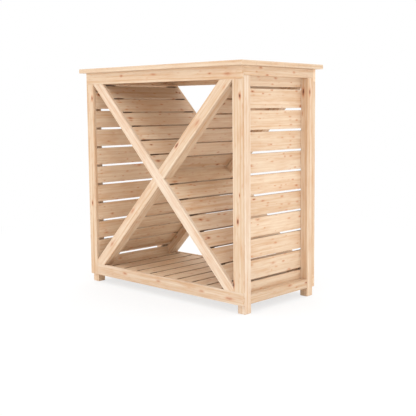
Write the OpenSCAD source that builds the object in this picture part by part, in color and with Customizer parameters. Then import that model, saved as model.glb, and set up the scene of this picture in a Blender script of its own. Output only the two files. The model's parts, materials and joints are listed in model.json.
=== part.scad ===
// Free-standing log store of planed pine. Four posts carry slatted sides and a flat roof.
// Two slatted shelves cross in an X and divide the space into four triangular bays.
// Millimetres, +X to the right, +Y to the back, +Z up. The origin is on the ground, under the middle.

/* [Store] */
// Width over the corner posts
store_w = 1030; // [800:5:1400]
// Depth over the front and back frames
store_d = 500; // [360:5:800]
// Height of the sides and frames, from their underside to the roof
side_h = 1000; // [800:5:1300]
// Clear height under the sides, where the posts stand as feet
foot_h = 40; // [20:1:90]

/* [Posts and rails] */
// Side of the square corner posts
post_w = 40; // [32:1:60]
// Height of the rails along the sides
side_rail_h = 40; // [30:1:60]
// Height of the bearers under the floor
bearer_h = 40; // [25:1:50]
// Depth of the bearers from front to back
bearer_d = 40; // [25:1:60]

/* [Front and back frames] */
// Width of the frames' top and bottom rails
rail_w = 55; // [44:1:75]
// Thickness of the frames' boards
board_t = 15; // [10:1:24]
// Distance from a stile to the foot of a brace's lower edge
brace_foot = 54; // [20:1:90]

/* [Slats] */
// Width of every slat
slat_w = 82; // [55:1:110]
// Thickness of every slat
slat_t = 12; // [8:1:18]
// Least gap between two slats
slat_gap = 9; // [4:1:16]

/* [Shelves] */
// Height of the battens under the shelves, square to the slope
batten_h = 40; // [30:1:60]
// Depth of the battens from front to back
batten_d = 38; // [25:1:60]
// Distance from a side wall to the battens' upright ends
batten_inset = 30; // [5:1:45]
// Width of the strip at a shelf's upper end
strip_w = 15; // [8:1:40]
// Least length of a shelf's slope that is left bare above the floor
shelf_foot = 25; // [15:1:60]

/* [Roof] */
// Thickness of the roof boards
roof_t = 20; // [14:1:30]
// Overhang of the roof past the posts and frames
roof_overhang = 25; // [10:1:60]
// Least width of a roof board
roof_board_w = 85; // [60:1:140]
// Gap between two roof boards
roof_gap = 1; // [0.5:0.5:6]

/* [Hidden] */
// Overrun of cuts past the faces that they cut
cut = 5;
// Length of a sloped bar before its ends are cut, longer than any brace
reach = store_w + side_h;

// Main planes
frame_back_y = store_d / 2 - board_t;
post_x = store_w / 2 - post_w;
post_y = frame_back_y - post_w;
wall_x = post_x - slat_t;
side_top_z = foot_h + side_h;
floor_z = foot_h + bearer_h + slat_t;

// Opening of a frame: its stiles cover the posts and the ends of the wall slats
open_x = wall_x;
batten_x = open_x - batten_inset;
open_low_z = foot_h + rail_w;
open_high_z = side_top_z - rail_w;

// A brace covers a batten and the slats on it
brace_w = batten_h + slat_t;

// A brace's lower edge falls from an upper corner of the opening to its foot on the bottom rail
brace_run = 2 * open_x - brace_foot;
brace_rise = open_high_z - open_low_z;
brace_angle = atan(brace_rise / brace_run);
cross_angle = 2 * brace_angle;
cross_z = open_high_z - open_x * tan(brace_angle) + brace_w / 2 / cos(brace_angle);

// Ends of the slopes on the braces' middle line, and half of the crossing, measured from the middle of the X
slope_up = (open_high_z - cross_z) / sin(brace_angle);
slope_down = (cross_z - floor_z) / sin(brace_angle);
cross_half = brace_w / 2 * (1 + abs(cos(cross_angle))) / sin(cross_angle);

// Number of slats of full width that fit a length, and the length that they take up
function slat_count(length) = floor((length + slat_gap) / (slat_w + slat_gap));
function slats_length(count) = count * slat_w + (count - 1) * slat_gap;

side_count = slat_count(side_h);
side_pitch = (side_h - slat_w) / (side_count - 1);
floor_count = slat_count(2 * wall_x);
floor_pitch = (2 * wall_x - slat_w) / (floor_count - 1);
shelf_pitch = slat_w + slat_gap;

// Upper ends of the battens, of the strips on them and of the slats of full width
batten_end = slope_up - (brace_w / 2 - slat_t) / tan(brace_angle);
strip_low = batten_end - strip_w;
shelf_top = strip_low - slat_gap;
falling_count = slat_count(shelf_top + slope_down - shelf_foot);
upper_count = slat_count(shelf_top - cross_half);
lower_top = cross_half + slat_gap;
lower_count = slat_count(slope_down - shelf_foot - lower_top);

roof_w = store_w + 2 * roof_overhang;
roof_d = store_d + 2 * roof_overhang;
roof_count = floor((roof_d + roof_gap) / (roof_board_w + roof_gap));
roof_pitch = (roof_d + roof_gap) / roof_count;

// Box between two opposite corners
module box(low, high) {
    translate(low) cube(high - low);
}

// Side of the store: -1 is left or front, 1 is right or back
module on_side_x(side) {
    mirror([side < 0 ? 1 : 0, 0, 0]) children();
}

module on_side_y(side) {
    mirror([0, side < 0 ? 1 : 0, 0]) children();
}

// Frame of a slope through the crossing: -1 falls to the right, 1 rises to the right
module on_slope(way) {
    translate([0, 0, cross_z]) rotate([0, -way * brace_angle, 0]) children();
}

// Bar along a slope from one end to the other, with its lower edge on the braces' lower edge
module slope_bar(way, from, to, height, low_y, high_y) {
    on_slope(way) box([from, low_y, -brace_w / 2], [to, high_y, height - brace_w / 2]);
}

// Falling bar across the whole opening, cut upright at both ends and level above and below
module falling_bar(height, end_x, low_z, low_y, high_y) {
    intersection() {
        slope_bar(-1, -reach, reach, height, low_y, high_y);
        box([-end_x, low_y - cut, low_z], [end_x, high_y + cut, open_high_z]);
    }
}

// Half of the rising bar, above (1) or below (-1) the crossing, butted against the falling one
module rising_half(half, height, end_x, low_z, low_y, high_y) {
    difference() {
        intersection() {
            slope_bar(1, min(0, half * reach), max(0, half * reach), height, low_y, high_y);
            box([-end_x, low_y - cut, low_z], [end_x, high_y + cut, open_high_z]);
        }
        slope_bar(-1, -reach, reach, brace_w, low_y - cut, high_y + cut);
    }
}

// Row of slats from front to back on a slope, the first one starting at a distance from the crossing
module slope_slats(way, start, count) {
    on_slope(way)
        for (i = [0 : count - 1])
            let (from = start + i * shelf_pitch)
                box(
                    [from, -frame_back_y, brace_w / 2 - slat_t],
                    [from + slat_w, frame_back_y, brace_w / 2]
                );
}

// Narrow strip at the upper end of a slope, flush with the ends of the battens
module slope_strip(way) {
    on_slope(way)
        box(
            [min(way * strip_low, way * batten_end), -frame_back_y, brace_w / 2 - slat_t],
            [max(way * strip_low, way * batten_end), frame_back_y, brace_w / 2]
        );
}

// Posts
module post(side_x, side_y) {
    color("wheat")
        on_side_x(side_x) on_side_y(side_y)
            box([post_x, post_y, 0], [post_x + post_w, post_y + post_w, side_top_z - side_rail_h]);
}

// Rails along the sides
module side_top_rail(side) {
    color("wheat")
        on_side_x(side)
            box([post_x, -frame_back_y, side_top_z - side_rail_h], [post_x + post_w, frame_back_y, side_top_z]);
}

module side_bottom_rail(side) {
    color("wheat")
        on_side_x(side)
            box([post_x, -post_y, foot_h], [post_x + post_w, post_y, foot_h + side_rail_h]);
}

// Flat boards of the front and back frames
module frame_top_rail(side) {
    color("bisque")
        on_side_y(side)
            box([-store_w / 2, frame_back_y, open_high_z], [store_w / 2, frame_back_y + board_t, side_top_z]);
}

module frame_bottom_rail(side) {
    color("bisque")
        on_side_y(side)
            box([-open_x, frame_back_y, foot_h], [store_w / 2, frame_back_y + board_t, open_low_z]);
}

module frame_left_stile(side) {
    color("bisque")
        on_side_y(side)
            box([-store_w / 2, frame_back_y, foot_h], [-open_x, frame_back_y + board_t, open_high_z]);
}

module frame_right_stile(side) {
    color("bisque")
        on_side_y(side)
            box([open_x, frame_back_y, open_low_z], [store_w / 2, frame_back_y + board_t, open_high_z]);
}

module falling_brace(side) {
    color("bisque")
        on_side_y(side)
            falling_bar(brace_w, open_x, open_low_z, frame_back_y, frame_back_y + board_t);
}

module rising_brace(side, half) {
    color("bisque")
        on_side_y(side)
            rising_half(half, brace_w, open_x, open_low_z, frame_back_y, frame_back_y + board_t);
}

// Battens behind the braces, which carry the shelves' slats
module falling_batten(side) {
    color("tan")
        on_side_y(side)
            falling_bar(batten_h, batten_x, floor_z, frame_back_y - batten_d, frame_back_y);
}

module rising_batten(side, half) {
    color("tan")
        on_side_y(side)
            rising_half(half, batten_h, batten_x, floor_z, frame_back_y - batten_d, frame_back_y);
}

// Slats of the crossing shelves
module falling_shelf_slats() {
    color("burlywood") {
        slope_slats(-1, -shelf_top, falling_count);
        slope_strip(-1);
    }
}

module rising_shelf_upper_slats() {
    color("burlywood") {
        slope_slats(1, shelf_top - slats_length(upper_count), upper_count);
        slope_strip(1);
    }
}

module rising_shelf_lower_slats() {
    color("burlywood") slope_slats(1, -lower_top - slats_length(lower_count), lower_count);
}

// Level slats of the sides, on the inner faces of the posts
module wall_slats(side) {
    color("burlywood")
        on_side_x(side)
            for (i = [0 : side_count - 1])
                let (low_z = foot_h + i * side_pitch)
                    box([wall_x, -frame_back_y, low_z], [post_x, frame_back_y, low_z + slat_w]);
}

// Floor of slats on two bearers
module floor_bearer(side) {
    color("tan")
        on_side_y(side)
            box([-wall_x, frame_back_y - bearer_d, foot_h], [wall_x, frame_back_y, foot_h + bearer_h]);
}

module floor_slats() {
    color("burlywood")
        for (i = [0 : floor_count - 1])
            let (low_x = i * floor_pitch - wall_x)
                box([low_x, -frame_back_y, floor_z - slat_t], [low_x + slat_w, frame_back_y, floor_z]);
}

// Flat roof of boards from side to side
module roof_boards() {
    color("bisque")
        for (i = [0 : roof_count - 1])
            let (low_y = i * roof_pitch - roof_d / 2)
                box(
                    [-roof_w / 2, low_y, side_top_z],
                    [roof_w / 2, low_y + roof_pitch - roof_gap, side_top_z + roof_t]
                );
}

post(-1, -1);  // front_left_post
post(1, -1);  // front_right_post
post(-1, 1);  // back_left_post
post(1, 1);  // back_right_post
side_top_rail(-1);  // left_top_rail
side_top_rail(1);  // right_top_rail
side_bottom_rail(-1);  // left_bottom_rail
side_bottom_rail(1);  // right_bottom_rail
frame_top_rail(-1);  // front_top_rail
frame_bottom_rail(-1);  // front_bottom_rail
frame_left_stile(-1);  // front_left_stile
frame_right_stile(-1);  // front_right_stile
falling_brace(-1);  // front_falling_brace
rising_brace(-1, 1);  // front_rising_brace_upper
rising_brace(-1, -1);  // front_rising_brace_lower
frame_top_rail(1);  // back_top_rail
frame_bottom_rail(1);  // back_bottom_rail
frame_left_stile(1);  // back_left_stile
frame_right_stile(1);  // back_right_stile
falling_brace(1);  // back_falling_brace
rising_brace(1, 1);  // back_rising_brace_upper
rising_brace(1, -1);  // back_rising_brace_lower
falling_batten(-1);  // front_falling_batten
rising_batten(-1, 1);  // front_rising_batten_upper
rising_batten(-1, -1);  // front_rising_batten_lower
falling_batten(1);  // back_falling_batten
rising_batten(1, 1);  // back_rising_batten_upper
rising_batten(1, -1);  // back_rising_batten_lower
falling_shelf_slats();
rising_shelf_upper_slats();
rising_shelf_lower_slats();
wall_slats(-1);  // left_wall_slats
wall_slats(1);  // right_wall_slats
floor_bearer(-1);  // front_floor_bearer
floor_bearer(1);  // back_floor_bearer
floor_slats();
roof_boards();
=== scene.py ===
"""Looks of a log store of planed pine: eased boards with grain and knots, in soft studio light."""

import json
import math
import random

import bmesh
import bpy
from mathutils import Matrix, Vector


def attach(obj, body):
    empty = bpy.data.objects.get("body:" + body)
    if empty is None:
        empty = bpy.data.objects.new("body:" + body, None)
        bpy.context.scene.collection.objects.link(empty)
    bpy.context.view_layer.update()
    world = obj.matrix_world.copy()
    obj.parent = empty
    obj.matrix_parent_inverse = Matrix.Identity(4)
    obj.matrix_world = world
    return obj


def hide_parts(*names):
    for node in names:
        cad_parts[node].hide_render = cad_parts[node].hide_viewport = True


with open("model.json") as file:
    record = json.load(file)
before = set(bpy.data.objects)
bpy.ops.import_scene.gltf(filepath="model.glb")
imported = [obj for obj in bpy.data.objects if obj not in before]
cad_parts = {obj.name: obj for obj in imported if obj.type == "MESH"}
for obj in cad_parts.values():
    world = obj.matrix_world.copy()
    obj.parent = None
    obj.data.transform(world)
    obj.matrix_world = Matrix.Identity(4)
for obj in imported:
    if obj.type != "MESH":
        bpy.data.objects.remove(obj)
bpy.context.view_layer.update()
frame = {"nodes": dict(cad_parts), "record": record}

SLOT_OF = {part["node"]: part["material_slot"] for part in frame["record"]["subparts"]}

# Shapes of the boards, in metres
WELD = 0.00002
FLAT_ANGLE = math.radians(1)
EASE = {
    "post_pine": 0.0020,
    "frame_pine": 0.0012,
    "slat_pine": 0.0012,
    "batten_pine": 0.0015,
    "roof_pine": 0.0020,
}
EASE_STEPS = 2
EASE_ROUNDNESS = 0.5

# A side runs along the grain where no more of its normal than this does
SQUARE_TO_GRAIN = 0.1

# Where a board lay in the log: ranges of its distance from the pith, and of its place along the trunk
PITH_ACROSS = 0.035
PITH_DEEP = (0.025, 0.075)
TRUNK_LENGTH = 8.0

# The next three tables name all boards of a node, or one by its number, from the left, front and ground

# Which draw of its grain a board takes, where the first one doesn't suit it
GRAIN_PICKS = {
    "front_bottom_rail": 8,
    "front_rising_brace_upper": 1,
    "front_rising_batten_upper": 3,
    "right_top_rail": 5,
    "right_bottom_rail": 7,
    "falling_shelf_slats 0": 5,
    "falling_shelf_slats 7": 8,
    "falling_shelf_slats 11": 2,
    "rising_shelf_upper_slats 0": 3,
    "rising_shelf_upper_slats 1": 5,
    "rising_shelf_upper_slats 2": 8,
    "left_wall_slats 0": 6,
    "left_wall_slats 2": 4,
    "left_wall_slats 3": 2,
    "left_wall_slats 4": 3,
    "left_wall_slats 5": 4,
    "left_wall_slats 6": 8,
    "left_wall_slats 8": 2,
    "right_wall_slats 0": 5,
    "right_wall_slats 2": 8,
    "right_wall_slats 7": 8,
    "right_wall_slats 8": 7,
    "right_wall_slats 9": 8,
}

# How dark the painted shade is on a board's sides in the gaps and under the slats, between the board's ends.
# At the ends it is at its darkest, which is 1
SHADE_BETWEEN = {
    "falling_shelf_slats": 0.55,
    "falling_shelf_slats 0": 0.0,
    "falling_shelf_slats 1": 0.1,
    "falling_shelf_slats 2": 0.3,
    "floor_slats": 0.6,
    "left_wall_slats": 0.33,
    "right_wall_slats": 0.33,
    "rising_shelf_lower_slats": 0.33,
    "rising_shelf_upper_slats": 0.33,
}

# Tints, partly the wood's own tone and partly painted light and shade that makes boards in shade lighter and
# some others darker, and how far single boards differ from them
TINTS_AND_PAINTED_LIGHT = {
    "front_top_rail": (0.97, 0.97, 0.97),
    "front_bottom_rail": (0.99, 1.03, 1.09),
    "front_left_stile": (0.97, 0.97, 0.97),
    "front_right_stile": (0.95, 0.95, 0.95),
    "front_right_post": (1.01, 1.08, 1.19),
    "front_falling_brace": (1.02, 1.08, 1.18),
    "front_rising_brace_upper": (0.99, 1.02, 1.06),
    "front_rising_brace_lower": (1.01, 1.03, 1.06),
    "front_rising_batten_upper": (1.05, 1.07, 1.08),
    "back_right_post": (0.98, 1.0, 1.03),
    "back_top_rail": (1.24, 1.26, 1.28),
    "back_rising_batten_upper": (1.05, 1.05, 1.05),
    "right_top_rail": (0.97, 0.97, 0.97),
    "right_bottom_rail": (0.88, 0.88, 0.88),
    "roof_boards": (0.93, 0.93, 0.93),
    "left_wall_slats": (1.04, 1.06, 1.07),
    "left_wall_slats 10": (1.2, 1.24, 1.28),
    "falling_shelf_slats 0": (1.24, 1.27, 1.3),
    "falling_shelf_slats 1": (0.88, 0.88, 0.89),
    "falling_shelf_slats 7": (1.05, 1.06, 1.04),
    "falling_shelf_slats 8": (1.08, 1.11, 1.12),
    "rising_shelf_upper_slats": (1.04, 1.07, 1.1),
    "rising_shelf_upper_slats 0": (0.88, 0.88, 0.88),
    "rising_shelf_lower_slats": (1.06, 1.09, 1.1),
    "floor_slats": (1.04, 1.05, 1.05),
    "floor_slats 0": (0.96, 0.97, 0.96),
    "floor_slats 1": (0.98, 0.99, 0.99),
}
NO_TINT = (1.0, 1.0, 1.0)
TINT_SPREAD = 0.025

# Boards whose ends show long grain, like an edging strip, and the strip's place in the log
EDGED = ("roof_boards",)
EDGED_FROM = 0.9
EDGED_SHIFT = Vector((3.0, -1.07, -0.45))

# Knots: how many a board may have, and for the loose ones their half width, length by width and darkness
KNOT_SLOTS = 4
KNOT_NUMBERS = range(1, KNOT_SLOTS + 1)
KNOT_DEPTH = 0.016
LOOSE_KNOTS = {"post_pine": 2, "frame_pine": 1, "slat_pine": 2, "batten_pine": 2, "roof_pine": 2}
KNOT_SIZE = (0.0022, 0.0042)
KNOT_STRETCH = (1.6, 3.2)
KNOT_DARKNESS = (0.0, 0.22)
KNOT_FREE_END = 0.94
NO_KNOT = (Vector(), Vector((0.0001, 0.0001, 0.0001)), 0.0)

# Knots that stand out: their middle on a face of the board, half width, length by width and darkness
SEEN_KNOTS = {
    "front_right_stile": [
        ((0.504, -0.25, 0.916), 0.0050, 2.0, 1.0),
        ((0.501, -0.25, 0.507), 0.0026, 2.6, 0.6),
        ((0.491, -0.25, 0.397), 0.0045, 2.4, 0.9),
        ((0.465, -0.25, 0.125), 0.0038, 4.0, 0.8),
    ],
    "front_left_stile": [
        ((-0.474, -0.25, 0.917), 0.0045, 2.0, 0.7),
        ((-0.491, -0.25, 0.399), 0.0040, 2.2, 0.65),
    ],
    "front_top_rail": [
        ((-0.246, -0.25, 1.019), 0.0040, 1.8, 0.25),
        ((-0.021, -0.25, 1.019), 0.0036, 3.6, 0.0),
        ((0.334, -0.25, 1.012), 0.0026, 2.6, 0.35),
        ((0.436, -0.25, 1.007), 0.0050, 3.2, 0.10),
    ],
    "front_bottom_rail": [
        ((-0.250, -0.25, 0.074), 0.0040, 2.4, 0.25),
        ((-0.010, -0.25, 0.0715), 0.0038, 3.0, 0.05),
        ((0.272, -0.25, 0.068), 0.0038, 3.0, 0.05),
        ((0.439, -0.25, 0.062), 0.0050, 3.4, 0.15),
    ],
    "front_rising_brace_upper": [
        ((0.127, -0.25, 0.703), 0.0036, 4.0, 0.85),
        ((0.255, -0.25, 0.804), 0.0050, 3.0, 0.05),
    ],
    "front_rising_brace_lower": [
        ((-0.344, -0.25, 0.208), 0.0046, 3.0, 0.1),
        ((-0.182, -0.25, 0.385), 0.0044, 3.0, 0.05),
    ],
    "back_right_post": [
        ((0.489, 0.195, 0.938), 0.0052, 3.0, 1.0),
        ((0.515, 0.209, 0.937), 0.0042, 3.0, 1.0),
    ],
    "right_top_rail": [
        ((0.515, -0.156, 1.016), 0.0028, 1.6, 0.0),
        ((0.515, -0.130, 1.034), 0.0038, 1.8, 0.15),
        ((0.515, -0.088, 1.003), 0.0036, 1.8, 0.3),
        ((0.515, 0.094, 1.021), 0.0038, 1.8, 0.0),
    ],
    "right_bottom_rail": [
        ((0.515, 0.190, 0.067), 0.0040, 2.0, 0.75),
        ((0.515, 0.068, 0.074), 0.0040, 2.4, 0.2),
    ],
    "rising_shelf_upper_slats": [
        ((0.309, -0.140, 0.885), 0.0050, 1.5, 0.9),
        ((0.024, 0.117, 0.594), 0.0042, 1.8, 0.7),
    ],
    "falling_shelf_slats": [
        ((-0.357, 0.209, 0.951), 0.0040, 1.4, 0.9),
        ((-0.354, 0.228, 0.948), 0.0036, 1.4, 0.9),
        ((-0.231, -0.212, 0.822), 0.0040, 2.6, 0.45),
        ((-0.109, -0.192, 0.698), 0.0036, 1.8, 0.9),
        ((-0.039, -0.212, 0.626), 0.0044, 2.0, 0.5),
        ((0.209, -0.188, 0.373), 0.0036, 2.2, 0.6),
        ((0.280, -0.212, 0.301), 0.0044, 2.0, 0.8),
    ],
    "right_wall_slats": [
        ((0.475, -0.137, 0.936), 0.0029, 2.2, 0.6),
        ((0.475, -0.069, 0.928), 0.0026, 2.2, 0.2),
        ((0.475, -0.129, 0.478), 0.0027, 2.6, 0.5),
        ((0.475, -0.072, 0.467), 0.0030, 2.6, 0.1),
    ],
    "left_wall_slats": [
        ((-0.463, -0.214, 0.936), 0.0050, 1.8, 0.8),
    ],
}

# How far outside a board the middle of one of its seen knots may be
SPOT_ROOM = 0.004

# Values that the materials read: what they belong to, their kind and their names
LAYERS = [
    ("faces", "float", ["end_grain", "shade_side", "shade_between"]),
    ("loops", "float", ["to_end"]),
    ("loops", "float_vector", ["grain_place"]),
    ("verts", "float_vector", ["tint_and_light"]),
    ("verts", "float_vector", [f"knot_{number}" for number in KNOT_NUMBERS]),
    ("verts", "float_vector", [f"knot_shape_{number}" for number in KNOT_NUMBERS]),
    ("verts", "float", [f"knot_dark_{number}" for number in KNOT_NUMBERS]),
]


# Boards


def whole_faces(node):
    """The node's solids with their split points welded and each flat side as one face."""
    solid = bmesh.new()
    solid.from_mesh(frame["nodes"][node].data)
    bmesh.ops.remove_doubles(solid, verts=solid.verts, dist=WELD)
    bmesh.ops.dissolve_limit(solid, angle_limit=FLAT_ANGLE, verts=solid.verts, edges=solid.edges)
    return solid


def ease_edges(solid, width):
    """Rounds every edge and marks the new faces."""
    arris = solid.faces.layers.float.new("arris")
    made = bmesh.ops.bevel(
        solid,
        geom=list(solid.edges),
        offset=width,
        segments=EASE_STEPS,
        profile=EASE_ROUNDNESS,
        affect="EDGES",
        clamp_overlap=True,
    )
    for face in made["faces"]:
        face[arris] = 1.0
        face.smooth = True


def board_layers(solid):
    """Adds the values that the materials read, and gives the layer of each by its name."""
    def layers_of(owner, kind):
        return getattr(getattr(solid, owner).layers, kind)

    for owner, kind, names in LAYERS:
        for name in names:
            layers_of(owner, kind).new(name)
    # A new layer moves the others, so they are looked up when all are there
    found = {"arris": solid.faces.layers.float["arris"]}
    for owner, kind, names in LAYERS:
        found |= {name: layers_of(owner, kind)[name] for name in names}
    return found


def separate_boards(solid):
    """The faces of each board, in the order of the boards' places."""
    seen = set()
    boards = []
    for start in solid.faces:
        if start in seen:
            continue
        board, waiting = [], [start]
        seen.add(start)
        while waiting:
            face = waiting.pop()
            board.append(face)
            for edge in face.edges:
                for beside in edge.link_faces:
                    if beside not in seen:
                        seen.add(beside)
                        waiting.append(beside)
        boards.append(board)
    return sorted(boards, key=lambda faces: [round(x, 3) for x in middle_of(faces)])


def points_of(faces):
    """The points of some faces, each of them once."""
    return list({point.index: point for face in faces for point in face.verts}.values())


def middle_of(faces):
    """The middle of the box around some faces."""
    places = [point.co for point in points_of(faces)]
    low = Vector(map(min, zip(*places)))
    high = Vector(map(max, zip(*places)))
    return (low + high) / 2


def aimed(direction):
    """The direction turned so that its largest part is positive."""
    return direction if max(direction, key=abs) > 0 else -direction


def board_axes(faces, arris):
    """Directions along a board's grain, across its width and through its thickness."""
    edges = {edge.index: edge for face in faces for edge in face.edges}.values()
    longest = max(edges, key=lambda edge: round(edge.calc_length(), 5))
    along = aimed((longest.verts[1].co - longest.verts[0].co).normalized())
    places = [point.co for point in points_of(faces)]

    def thinness(normal):
        spread = [place.dot(normal) for place in places]
        return (round(max(spread) - min(spread), 4), -round(abs(normal.y), 3), -round(abs(normal.x), 3))

    flat = [face.normal.copy() for face in faces if not face[arris]]
    sides = [normal for normal in flat if abs(normal.dot(along)) < SQUARE_TO_GRAIN]
    through = aimed(min(sides, key=thinness))
    return along, through.cross(along), through


def knot_shape(place, half, size, stretch):
    """Half lengths of a knot, which goes into the board from the nearest of its sides."""
    depth = max(KNOT_DEPTH, size)
    from_edge, from_side = half[1] - abs(place[1]), half[2] - abs(place[2])
    if from_edge < from_side:
        return Vector((size * stretch, depth, size))
    return Vector((size * stretch, size, depth))


def board_knots(node, chance, axes, middle, half):
    """Place, half lengths and darkness of each knot of a board, in its own directions from its middle."""
    knots = []
    for spot, size, stretch, darkness in SEEN_KNOTS.get(node, []):
        place = Vector([(Vector(spot) - middle).dot(axis) for axis in axes])
        if all(abs(off) < most + SPOT_ROOM for off, most in zip(place, half)):
            knots.append((place, knot_shape(place, half, size, stretch), darkness))
    loose = min(LOOSE_KNOTS[SLOT_OF[node]], KNOT_SLOTS - len(knots))
    for _ in range(loose):
        place = Vector((
            chance.uniform(-half[0], half[0]) * KNOT_FREE_END,
            chance.uniform(-half[1], half[1]),
            chance.choice((-half[2], half[2])),
        ))
        size = chance.uniform(*KNOT_SIZE)
        shape = Vector((size * chance.uniform(*KNOT_STRETCH), size, max(KNOT_DEPTH, size)))
        knots.append((place, shape, chance.uniform(*KNOT_DARKNESS)))
    return knots + [NO_KNOT] * (KNOT_SLOTS - len(knots))


def of_board(table, node, number, usual):
    """A table's entry for a board, or else for its node."""
    return table.get(f"{node} {number}", table.get(node, usual))


def grain_board(faces, layers, node, number):
    """Writes where each corner of a board lay in the log, the board's tint, which is partly painted light
    and shade, its knots, and the sides that get painted shade.
    """
    pick = of_board(GRAIN_PICKS, node, number, "")
    chance = random.Random(f"{node} {number} {pick}".strip())
    axes = board_axes(faces, layers["arris"])
    middle = middle_of(faces)
    points = points_of(faces)
    half = [max(abs((point.co - middle).dot(axis)) for point in points) for axis in axes]
    shift = Vector((
        chance.uniform(-TRUNK_LENGTH, TRUNK_LENGTH),
        chance.uniform(-PITH_ACROSS, PITH_ACROSS),
        chance.uniform(*PITH_DEEP),
    ))
    tint_and_light = Vector(of_board(TINTS_AND_PAINTED_LIGHT, node, number, NO_TINT))
    tint_and_light *= 1 + chance.uniform(-TINT_SPREAD, TINT_SPREAD)
    knots = board_knots(node, chance, axes, middle, half)
    shade_between = of_board(SHADE_BETWEEN, node, number, 1.0)

    for point in points:
        point[layers["tint_and_light"]] = tint_and_light
        for knot, (place, shape, darkness) in zip(KNOT_NUMBERS, knots):
            point[layers[f"knot_{knot}"]] = place + shift
            point[layers[f"knot_shape_{knot}"]] = shape
            point[layers[f"knot_dark_{knot}"]] = darkness
    for face in faces:
        end = abs(face.normal.dot(axes[0]))
        edged = node in EDGED and end > EDGED_FROM
        face[layers["end_grain"]] = 0.0 if edged else end
        # Painted shade goes on the upper sides of the battens, which the slats cover, and on the narrow
        # sides of the slats, which face each other across the gaps
        on_batten = SLOT_OF[node] == "batten_pine"
        face[layers["shade_side"]] = face.normal.z if on_batten else abs(face.normal.dot(axes[1]))
        face[layers["shade_between"]] = shade_between
        for corner in face.loops:
            place = corner.vert.co
            corner[layers["to_end"]] = (place - middle).dot(axes[0]) / half[0]
            if edged:
                corner[layers["grain_place"]] = Vector((place.y, place.z, place.x)) + EDGED_SHIFT
            else:
                corner[layers["grain_place"]] = Vector([(place - middle).dot(axis) for axis in axes]) + shift


def pine_piece(node, material):
    """Makes the node's boards with eased edges, as one piece that stands for the node."""
    slot = SLOT_OF[node]
    solid = whole_faces(node)
    ease_edges(solid, EASE[slot])
    layers = board_layers(solid)
    for elements in (solid.verts, solid.edges, solid.faces):
        elements.index_update()
    solid.normal_update()
    for number, faces in enumerate(separate_boards(solid)):
        grain_board(faces, layers, node, number)
    for face in solid.faces:
        face.material_index = 0

    mesh = bpy.data.meshes.new(f"pine_{node}")
    solid.to_mesh(mesh)
    solid.free()
    mesh.materials.append(material)
    piece = bpy.data.objects.new(f"pine_{node}", mesh)
    bpy.context.scene.collection.objects.link(piece)
    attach(piece, "root")
    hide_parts(node)


# Materials


# Sockets for colours on a Mix node, which has others for other kinds of data
MIX_SHARE, MIX_FIRST, MIX_SECOND = 0, 6, 7
MIX_RESULT = 2


class Nodes:
    """Short calls for building a node tree."""

    def __init__(self, tree):
        self.tree = tree
        tree.nodes.clear()

    def add(self, kind, inputs=None, **settings):
        node = self.tree.nodes.new(f"ShaderNode{kind}")
        for name, value in settings.items():
            setattr(node, name, value)
        for name, value in (inputs or {}).items():
            self.put(node.inputs[name], value)
        return node

    def put(self, socket, value):
        if isinstance(value, bpy.types.NodeSocket):
            self.tree.links.new(value, socket)
        else:
            socket.default_value = value

    def maths(self, operation, *values):
        node = self.add("Math", operation=operation)
        for socket, value in zip(node.inputs, values):
            self.put(socket, value)
        return node.outputs[0]

    def fade(self, value, start, end, low=0.0, high=1.0):
        """Goes smoothly from low at start to high at end."""
        node = self.add("MapRange", {
            "Value": value, "From Min": start, "From Max": end, "To Min": low, "To Max": high,
        }, interpolation_type="SMOOTHSTEP")
        return node.outputs["Result"]

    def mix(self, share, first, second, way="MIX"):
        node = self.add("Mix", data_type="RGBA", blend_type=way)
        self.put(node.inputs[MIX_SHARE], share)
        self.put(node.inputs[MIX_FIRST], first)
        self.put(node.inputs[MIX_SECOND], second)
        return node.outputs[MIX_RESULT]

    def attribute(self, name, output):
        return self.add("Attribute", attribute_name=name).outputs[output]

    def vector(self, operation, first, second):
        return self.add("VectorMath", {0: first, 1: second}, operation=operation).outputs[0]

    def length(self, vector):
        return self.add("VectorMath", {0: vector}, operation="LENGTH").outputs["Value"]

    def noise(self, place, repeats, detail, roughness):
        """Noise with so many repeats in a metre along, across and through a board."""
        return self.add("TexNoise", {
            "Vector": self.vector("MULTIPLY", place, repeats),
            "Scale": 1.0,
            "Detail": detail,
            "Roughness": roughness,
        })


def linear(red, green, blue):
    """A colour for a shader from its display values of 0 to 255, by the sRGB curve."""
    def channel(value):
        share = value / 255
        return share / 12.92 if share <= 0.04045 else ((share + 0.055) / 1.055) ** 2.4

    return (channel(red), channel(green), channel(blue), 1.0)


# Colours of the wood
PALE = linear(222, 200, 174)
WARM = linear(207, 173, 139)
LATE = linear(196, 147, 104)
BLUSH = linear(193, 124, 82)
KNOT_RED = linear(178, 108, 72)
KNOT_DARK = linear(82, 42, 31)
# A dark brown painted as shade into the gaps between slats and onto the battens' upper sides
SHADE_BROWN = linear(96, 66, 45)

# Shares of each kind of mark on each kind of board, and last the share of painted shade in the gaps and
# under the slats
MARK_SHARES = {
    "post_pine": {"streak": 1.0, "dash": 0.9, "cloud": 0.4, "smudges": 0.3, "ends": 0.2, "shade_share": 0.0},
    "frame_pine": {"streak": 0.9, "dash": 0.7, "cloud": 0.7, "smudges": 0.4, "ends": 0.05, "shade_share": 0.0},
    "slat_pine": {"streak": 0.7, "dash": 0.7, "cloud": 0.7, "smudges": 1.0, "ends": 0.2, "shade_share": 0.8},
    "batten_pine": {"streak": 0.9, "dash": 0.7, "cloud": 0.8, "smudges": 0.4, "ends": 0.3, "shade_share": 0.8},
    "roof_pine": {"streak": 0.6, "dash": 0.4, "cloud": 0.5, "smudges": 0.3, "ends": 0.2, "shade_share": 0.0},
}

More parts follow.
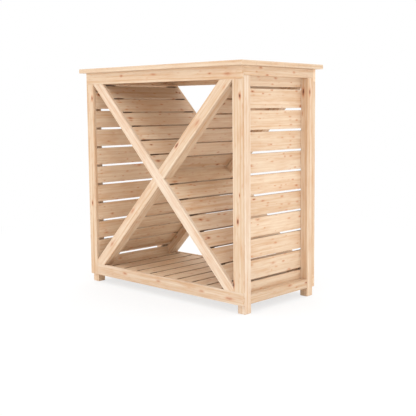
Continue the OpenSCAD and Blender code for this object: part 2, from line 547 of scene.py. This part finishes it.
# Noises: their repeats in a metre along, across and through a board, their detail and their roughness
WANDER = ((2.0, 8.0, 8.0), 2.0, 0.5)
RAGGED = ((60.0, 160.0, 160.0), 2.0, 0.5)
STREAKS = ((1.0, 85.0, 85.0), 3.0, 0.6)
CLOUDS = ((7.0, 28.0, 28.0), 2.0, 0.5)
DASHES = ((13.0, 150.0, 150.0), 2.0, 0.6)
FIBRE = ((40.0, 700.0, 700.0), 2.0, 0.6)

# How far the grain wanders and how wide a year's ring is, in metres, and where the late wood is in a ring
WANDER_REACH = 0.007
RING_WIDTH = 0.0042
LATE_COMES, LATE_GOES = (0.35, 0.9), (1.0, 0.93)

# Where each mark starts and is full in its noise, and shares of the marks beside those of each kind of board
STREAK_FADE = (0.34, 0.66)
DARK_STREAK_FADE, DARK_STREAK_SHARE = (0.56, 0.74), 0.6
DARK_CLOUD_FADE, PALE_CLOUD_FADE, CLOUD_SHARE = (0.46, 0.72), (0.5, 0.26), 0.5
LATE_SHARE = 0.14
DARK_DASH_FADE, PALE_DASH_FADE, DASH_SHARE = (0.46, 0.74), (0.5, 0.28), 0.4
FIBRE_FADE, FIBRE_SHARE = (0.45, 0.75), 0.12
SMUDGE_SHARE = 0.8
WORN_SHARE = 0.15

# Smudges, one in each cell: the cells in a metre, their sizes in a cell, edges, and how many are faint
SMUDGE_CELLS = (24.0, 60.0, 60.0)
SMUDGE_SIZE = (0.24, 0.50)
SMUDGE_RAGGED = 0.16
SMUDGE_FADE = (1.0, 0.25)
SMUDGE_FAINT = (0.05, 0.7)

# Knots, in half lengths from their middle: where core, glow and bent grain start and are full, and their
# unevenness
CORE_FADE = (1.35, 0.35)
GLOW_FADE = (2.6, 0.5)
BENT_FADE = (3.4, 0.3)
KNOT_RAGGED = 1.4

# The darkness from which a knot is a strong one, the shares of a weak knot, and what a strong one adds
STRONG_KNOT = 0.6
CORE_SHARE, CORE_MORE = 0.4, 0.5
GLOW_SHARE, GLOW_MORE = 0.45, 0.3
BENT_SHARE = 0.7

# End grain and sides with painted shade: how far a face turns that way, and where the painted shade at a
# board's ends starts and is full
END_FADE = (0.6, 0.95)
SHADE_SIDE_FADE = (0.6, 0.68)
DARK_END_FADE = (0.68, 0.78)

# Relief and gloss
LATE_HEIGHT, FIBRE_HEIGHT = 0.6, 0.5
BUMP_STRENGTH, BUMP_DEPTH = 0.35, 0.0004
GLOSS_FADE, ROUGHNESS = (0.2, 0.8), (0.52, 0.68)
SPECULAR = 0.3


def knot_fields(nodes, place, across, rough_edge):
    """Core and glow of all knots, the core's darkness, and how far the grain gives way to them."""
    core, glow, dark, give = 0.0, 0.0, 0.0, 0.0
    for number in KNOT_NUMBERS:
        spot = nodes.attribute(f"knot_{number}", "Vector")
        shape = nodes.attribute(f"knot_shape_{number}", "Vector")
        darkness = nodes.attribute(f"knot_dark_{number}", "Fac")
        off = nodes.vector("DIVIDE", nodes.vector("SUBTRACT", place, spot), shape)
        reach = nodes.maths("ADD", nodes.length(off), rough_edge)
        strength = nodes.fade(darkness, 0.0, STRONG_KNOT)

        inside = nodes.fade(reach, *CORE_FADE)
        core_share = nodes.maths("MULTIPLY_ADD", strength, CORE_MORE, CORE_SHARE)
        core = nodes.maths("MAXIMUM", core, nodes.maths("MULTIPLY", inside, core_share))
        dark = nodes.maths("MAXIMUM", dark, nodes.maths("MULTIPLY", inside, darkness))

        around = nodes.fade(reach, *GLOW_FADE)
        glow_share = nodes.maths("MULTIPLY_ADD", strength, GLOW_MORE, GLOW_SHARE)
        glow = nodes.maths("MAXIMUM", glow, nodes.maths("MULTIPLY", around, glow_share))

        spot_across = nodes.add("SeparateXYZ", {"Vector": spot}).outputs["Y"]
        off_across = nodes.maths("SUBTRACT", across, spot_across)
        bent_share = nodes.maths("MULTIPLY", strength, BENT_SHARE)
        bent = nodes.maths("MULTIPLY", nodes.fade(reach, *BENT_FADE), bent_share)
        give = nodes.maths("ADD", give, nodes.maths("MULTIPLY", off_across, bent))
    return core, glow, dark, give


def late_wood(nodes, across, deep):
    """The dark part of each year's ring around the pith."""
    squares = nodes.maths("ADD", nodes.maths("POWER", across, 2.0), nodes.maths("POWER", deep, 2.0))
    radius = nodes.maths("SQRT", squares)
    year = nodes.maths("FRACT", nodes.maths("DIVIDE", radius, RING_WIDTH))
    return nodes.maths("MULTIPLY", nodes.fade(year, *LATE_COMES), nodes.fade(year, *LATE_GOES))


def smudge_field(nodes, place, ragged):
    """Small reddish spots of different sizes and strengths."""
    cells = nodes.add("TexVoronoi", {
        "Vector": nodes.vector("MULTIPLY", place, SMUDGE_CELLS), "Scale": 1.0,
    })
    chosen = nodes.add("SeparateColor", {"Color": cells.outputs["Color"]})
    size = nodes.fade(chosen.outputs["Green"], 0.0, 1.0, *SMUDGE_SIZE)
    off = nodes.maths("MULTIPLY_ADD", ragged, SMUDGE_RAGGED, cells.outputs["Distance"])
    spot = nodes.fade(nodes.maths("DIVIDE", off, size), *SMUDGE_FADE)
    return nodes.maths("MULTIPLY", spot, nodes.fade(chosen.outputs["Red"], *SMUDGE_FAINT))


def painted_shade_field(nodes, shade_share):
    """Painted shade on the narrow sides of slats and the upper sides of battens, most at the boards' ends.
    """
    side_in_shade = nodes.fade(nodes.attribute("shade_side", "Fac"), *SHADE_SIDE_FADE)
    to_end = nodes.maths("ABSOLUTE", nodes.attribute("to_end", "Fac"))
    at_end = nodes.fade(to_end, *DARK_END_FADE)
    darkness = nodes.maths("MAXIMUM", at_end, nodes.attribute("shade_between", "Fac"))
    return nodes.maths("MULTIPLY", side_in_shade, nodes.maths("MULTIPLY", darkness, shade_share))


def pine(name, streak, dash, cloud, smudges, ends, shade_share):
    """Planed pine, from each point's place in the log. The numbers are shares of each kind of mark, and the
    last is the share of painted shade.
    """
    material = bpy.data.materials.new(name)
    material.use_nodes = True
    nodes = Nodes(material.node_tree)
    place = nodes.attribute("grain_place", "Vector")
    along, across, deep = nodes.add("SeparateXYZ", {"Vector": place}).outputs

    ragged = nodes.noise(place, *RAGGED).outputs["Fac"]
    rough_edge = nodes.maths("MULTIPLY_ADD", ragged, KNOT_RAGGED, -KNOT_RAGGED / 2)
    core, glow, dark, give = knot_fields(nodes, place, across, rough_edge)
    wander = nodes.add("SeparateColor", {"Color": nodes.noise(place, *WANDER).outputs["Color"]})
    across = nodes.maths("SUBTRACT", across, give)
    across = nodes.maths("MULTIPLY_ADD", wander.outputs["Red"], WANDER_REACH, across)
    deep = nodes.maths("MULTIPLY_ADD", wander.outputs["Green"], WANDER_REACH, deep)
    flowing = nodes.add("CombineXYZ", {"X": along, "Y": across, "Z": deep}).outputs[0]

    late = late_wood(nodes, across, deep)
    streaks = nodes.noise(flowing, *STREAKS).outputs["Fac"]
    clouds = nodes.noise(flowing, *CLOUDS).outputs["Fac"]
    dashes = nodes.noise(flowing, *DASHES).outputs["Fac"]
    fibre = nodes.noise(flowing, *FIBRE).outputs["Fac"]

    colour = PALE
    for field, share, paint in (
        (nodes.fade(streaks, *STREAK_FADE), streak, WARM),
        (nodes.fade(streaks, *DARK_STREAK_FADE), DARK_STREAK_SHARE * streak, LATE),
        (nodes.fade(clouds, *DARK_CLOUD_FADE), CLOUD_SHARE * cloud, LATE),
        (nodes.fade(clouds, *PALE_CLOUD_FADE), CLOUD_SHARE * cloud, PALE),
        (late, LATE_SHARE * dash, LATE),
        (nodes.fade(dashes, *DARK_DASH_FADE), DASH_SHARE * dash, LATE),
        (nodes.fade(dashes, *PALE_DASH_FADE), DASH_SHARE * dash, PALE),
        (nodes.fade(fibre, *FIBRE_FADE), FIBRE_SHARE, LATE),
        (smudge_field(nodes, place, ragged), SMUDGE_SHARE * smudges, BLUSH),
    ):
        colour = nodes.mix(nodes.maths("MULTIPLY", field, share), colour, paint)
    colour = nodes.mix(glow, colour, BLUSH)
    colour = nodes.mix(core, colour, nodes.mix(dark, KNOT_RED, KNOT_DARK))
    worn = nodes.maths("MULTIPLY", nodes.attribute("arris", "Fac"), WORN_SHARE)
    colour = nodes.mix(worn, colour, PALE)
    end_grain = nodes.fade(nodes.attribute("end_grain", "Fac"), *END_FADE)
    colour = nodes.mix(nodes.maths("MULTIPLY", end_grain, ends), colour, LATE)
    # Painted shade in the gaps between slats and on the battens' upper sides
    colour = nodes.mix(painted_shade_field(nodes, shade_share), colour, SHADE_BROWN)
    # The tint of each board, partly the wood's tone and partly painted light and shade
    colour = nodes.mix(1.0, colour, nodes.attribute("tint_and_light", "Color"), "MULTIPLY")

    height = nodes.maths(
        "ADD",
        nodes.maths("MULTIPLY", late, LATE_HEIGHT),
        nodes.maths("MULTIPLY", fibre, FIBRE_HEIGHT),
    )
    bump = nodes.add("Bump", {"Strength": BUMP_STRENGTH, "Distance": BUMP_DEPTH, "Height": height})
    shader = nodes.add("BsdfPrincipled", {
        "Base Color": colour,
        "Roughness": nodes.fade(fibre, *GLOSS_FADE, *ROUGHNESS),
        "Specular IOR Level": SPECULAR,
        "Normal": bump.outputs[0],
    })
    nodes.add("OutputMaterial", {"Surface": shader.outputs[0]})
    return material


# Studio


# Floor: its reach in metres, its colour as it is seen and as it gives back light, its share of plain white
# close to the store, and the distances over which it turns all white
FLOOR_REACH = 40.0
FLOOR_SEGMENTS = 2
FLOOR_WHITE = 0.82
FLOOR_BOUNCE = 1.0
CLOSE_WHITE = 0.72
WHITE_FROM, WHITE_TO = 0.7, 2.4
PLAIN_WHITE = (1.0, 1.0, 1.0, 1.0)

# Light of the surroundings: at the horizon, overhead, and of a broad soft patch at the front and right
SKY_LOW, SKY_HIGH = 0.82, 1.45
SKY_OVERHEAD = 0.8
PATCH_AIM = Vector((0.50, -0.62, 0.60)).normalized()
PATCH_EDGE = -0.2
PATCH_STRENGTH = 0.3


def seen_straight(nodes):
    """1 for rays that show the surface itself, in the view or in gloss and glass."""
    path = nodes.add("LightPath")
    plain = nodes.maths("MAXIMUM", path.outputs["Is Camera Ray"], path.outputs["Is Glossy Ray"])
    return nodes.maths("MAXIMUM", plain, path.outputs["Is Transmission Ray"])


def studio_floor():
    """Pale floor that turns to white away from the store and keeps its shadow."""
    mesh = bpy.data.meshes.new("floor")
    solid = bmesh.new()
    bmesh.ops.create_grid(solid, x_segments=FLOOR_SEGMENTS, y_segments=FLOOR_SEGMENTS, size=FLOOR_REACH)
    solid.to_mesh(mesh)
    solid.free()
    floor = bpy.data.objects.new("floor", mesh)
    bpy.context.scene.collection.objects.link(floor)

    material = bpy.data.materials.new("floor_white")
    material.use_nodes = True
    nodes = Nodes(material.node_tree)
    seen = seen_straight(nodes)
    away = nodes.length(nodes.add("NewGeometry").outputs["Position"])
    white = nodes.maths("MULTIPLY", seen, nodes.fade(away, WHITE_FROM, WHITE_TO, CLOSE_WHITE, 1.0))
    pale = nodes.add("BsdfDiffuse", {"Color": nodes.fade(seen, 0.0, 1.0, FLOOR_BOUNCE, FLOOR_WHITE)})
    glow = nodes.add("Emission", {"Color": PLAIN_WHITE, "Strength": 1.0})
    both = nodes.add("MixShader", {0: white, 1: pale.outputs[0], 2: glow.outputs[0]})
    nodes.add("OutputMaterial", {"Surface": both.outputs[0]})
    mesh.materials.append(material)


def studio_sky():
    """White surroundings that light the store from all sides, most from above, the front and the right."""
    world = bpy.data.worlds.new("studio")
    bpy.context.scene.world = world
    world.use_nodes = True
    nodes = Nodes(world.node_tree)
    way = nodes.add("TexCoord").outputs["Generated"]
    height = nodes.add("SeparateXYZ", {"Vector": way}).outputs["Z"]
    toward = nodes.add("VectorMath", {0: way, 1: PATCH_AIM}, operation="DOT_PRODUCT").outputs["Value"]
    light = nodes.maths(
        "ADD",
        nodes.fade(height, 0.0, SKY_OVERHEAD, SKY_LOW, SKY_HIGH),
        nodes.fade(toward, PATCH_EDGE, 1.0, 0.0, PATCH_STRENGTH),
    )
    strength = nodes.fade(seen_straight(nodes), 0.0, 1.0, light, 1.0)
    sky = nodes.add("Background", {"Color": PLAIN_WHITE, "Strength": strength})
    nodes.add("OutputWorld", {"Surface": sky.outputs[0]})


# Camera, as measured for a picture of 416 by 416 pixels
PICTURE = 416
SENSOR = 36.0
FOCAL_PIXELS = 776.34
MIDDLE_PIXEL = (243.0, 195.0)
EYE = (2.6448, -2.6141, 0.8619)
TURN, TILT, ROLL = math.radians(41.944), math.radians(6.310), math.radians(0.250)


def photo_camera():
    """Camera at the photograph's viewing angle."""
    data = bpy.data.cameras.new("camera")
    data.sensor_width = SENSOR
    data.lens = FOCAL_PIXELS * SENSOR / PICTURE
    data.shift_x = (PICTURE / 2 - MIDDLE_PIXEL[0]) / PICTURE
    data.shift_y = (MIDDLE_PIXEL[1] - PICTURE / 2) / PICTURE
    camera = bpy.data.objects.new("camera", data)
    turn = Matrix.Rotation(TURN, 4, "Z") @ Matrix.Rotation(math.pi / 2 - TILT, 4, "X")
    camera.matrix_world = Matrix.Translation(EYE) @ turn @ Matrix.Rotation(-ROLL, 4, "Z")
    bpy.context.scene.collection.objects.link(camera)
    bpy.context.scene.camera = camera


# Scene
materials = {slot: pine(slot, **shares) for slot, shares in MARK_SHARES.items()}
for node in sorted(SLOT_OF):
    pine_piece(node, materials[SLOT_OF[node]])

studio_floor()
studio_sky()
photo_camera()
bpy.context.scene.view_settings.view_transform = "Standard"
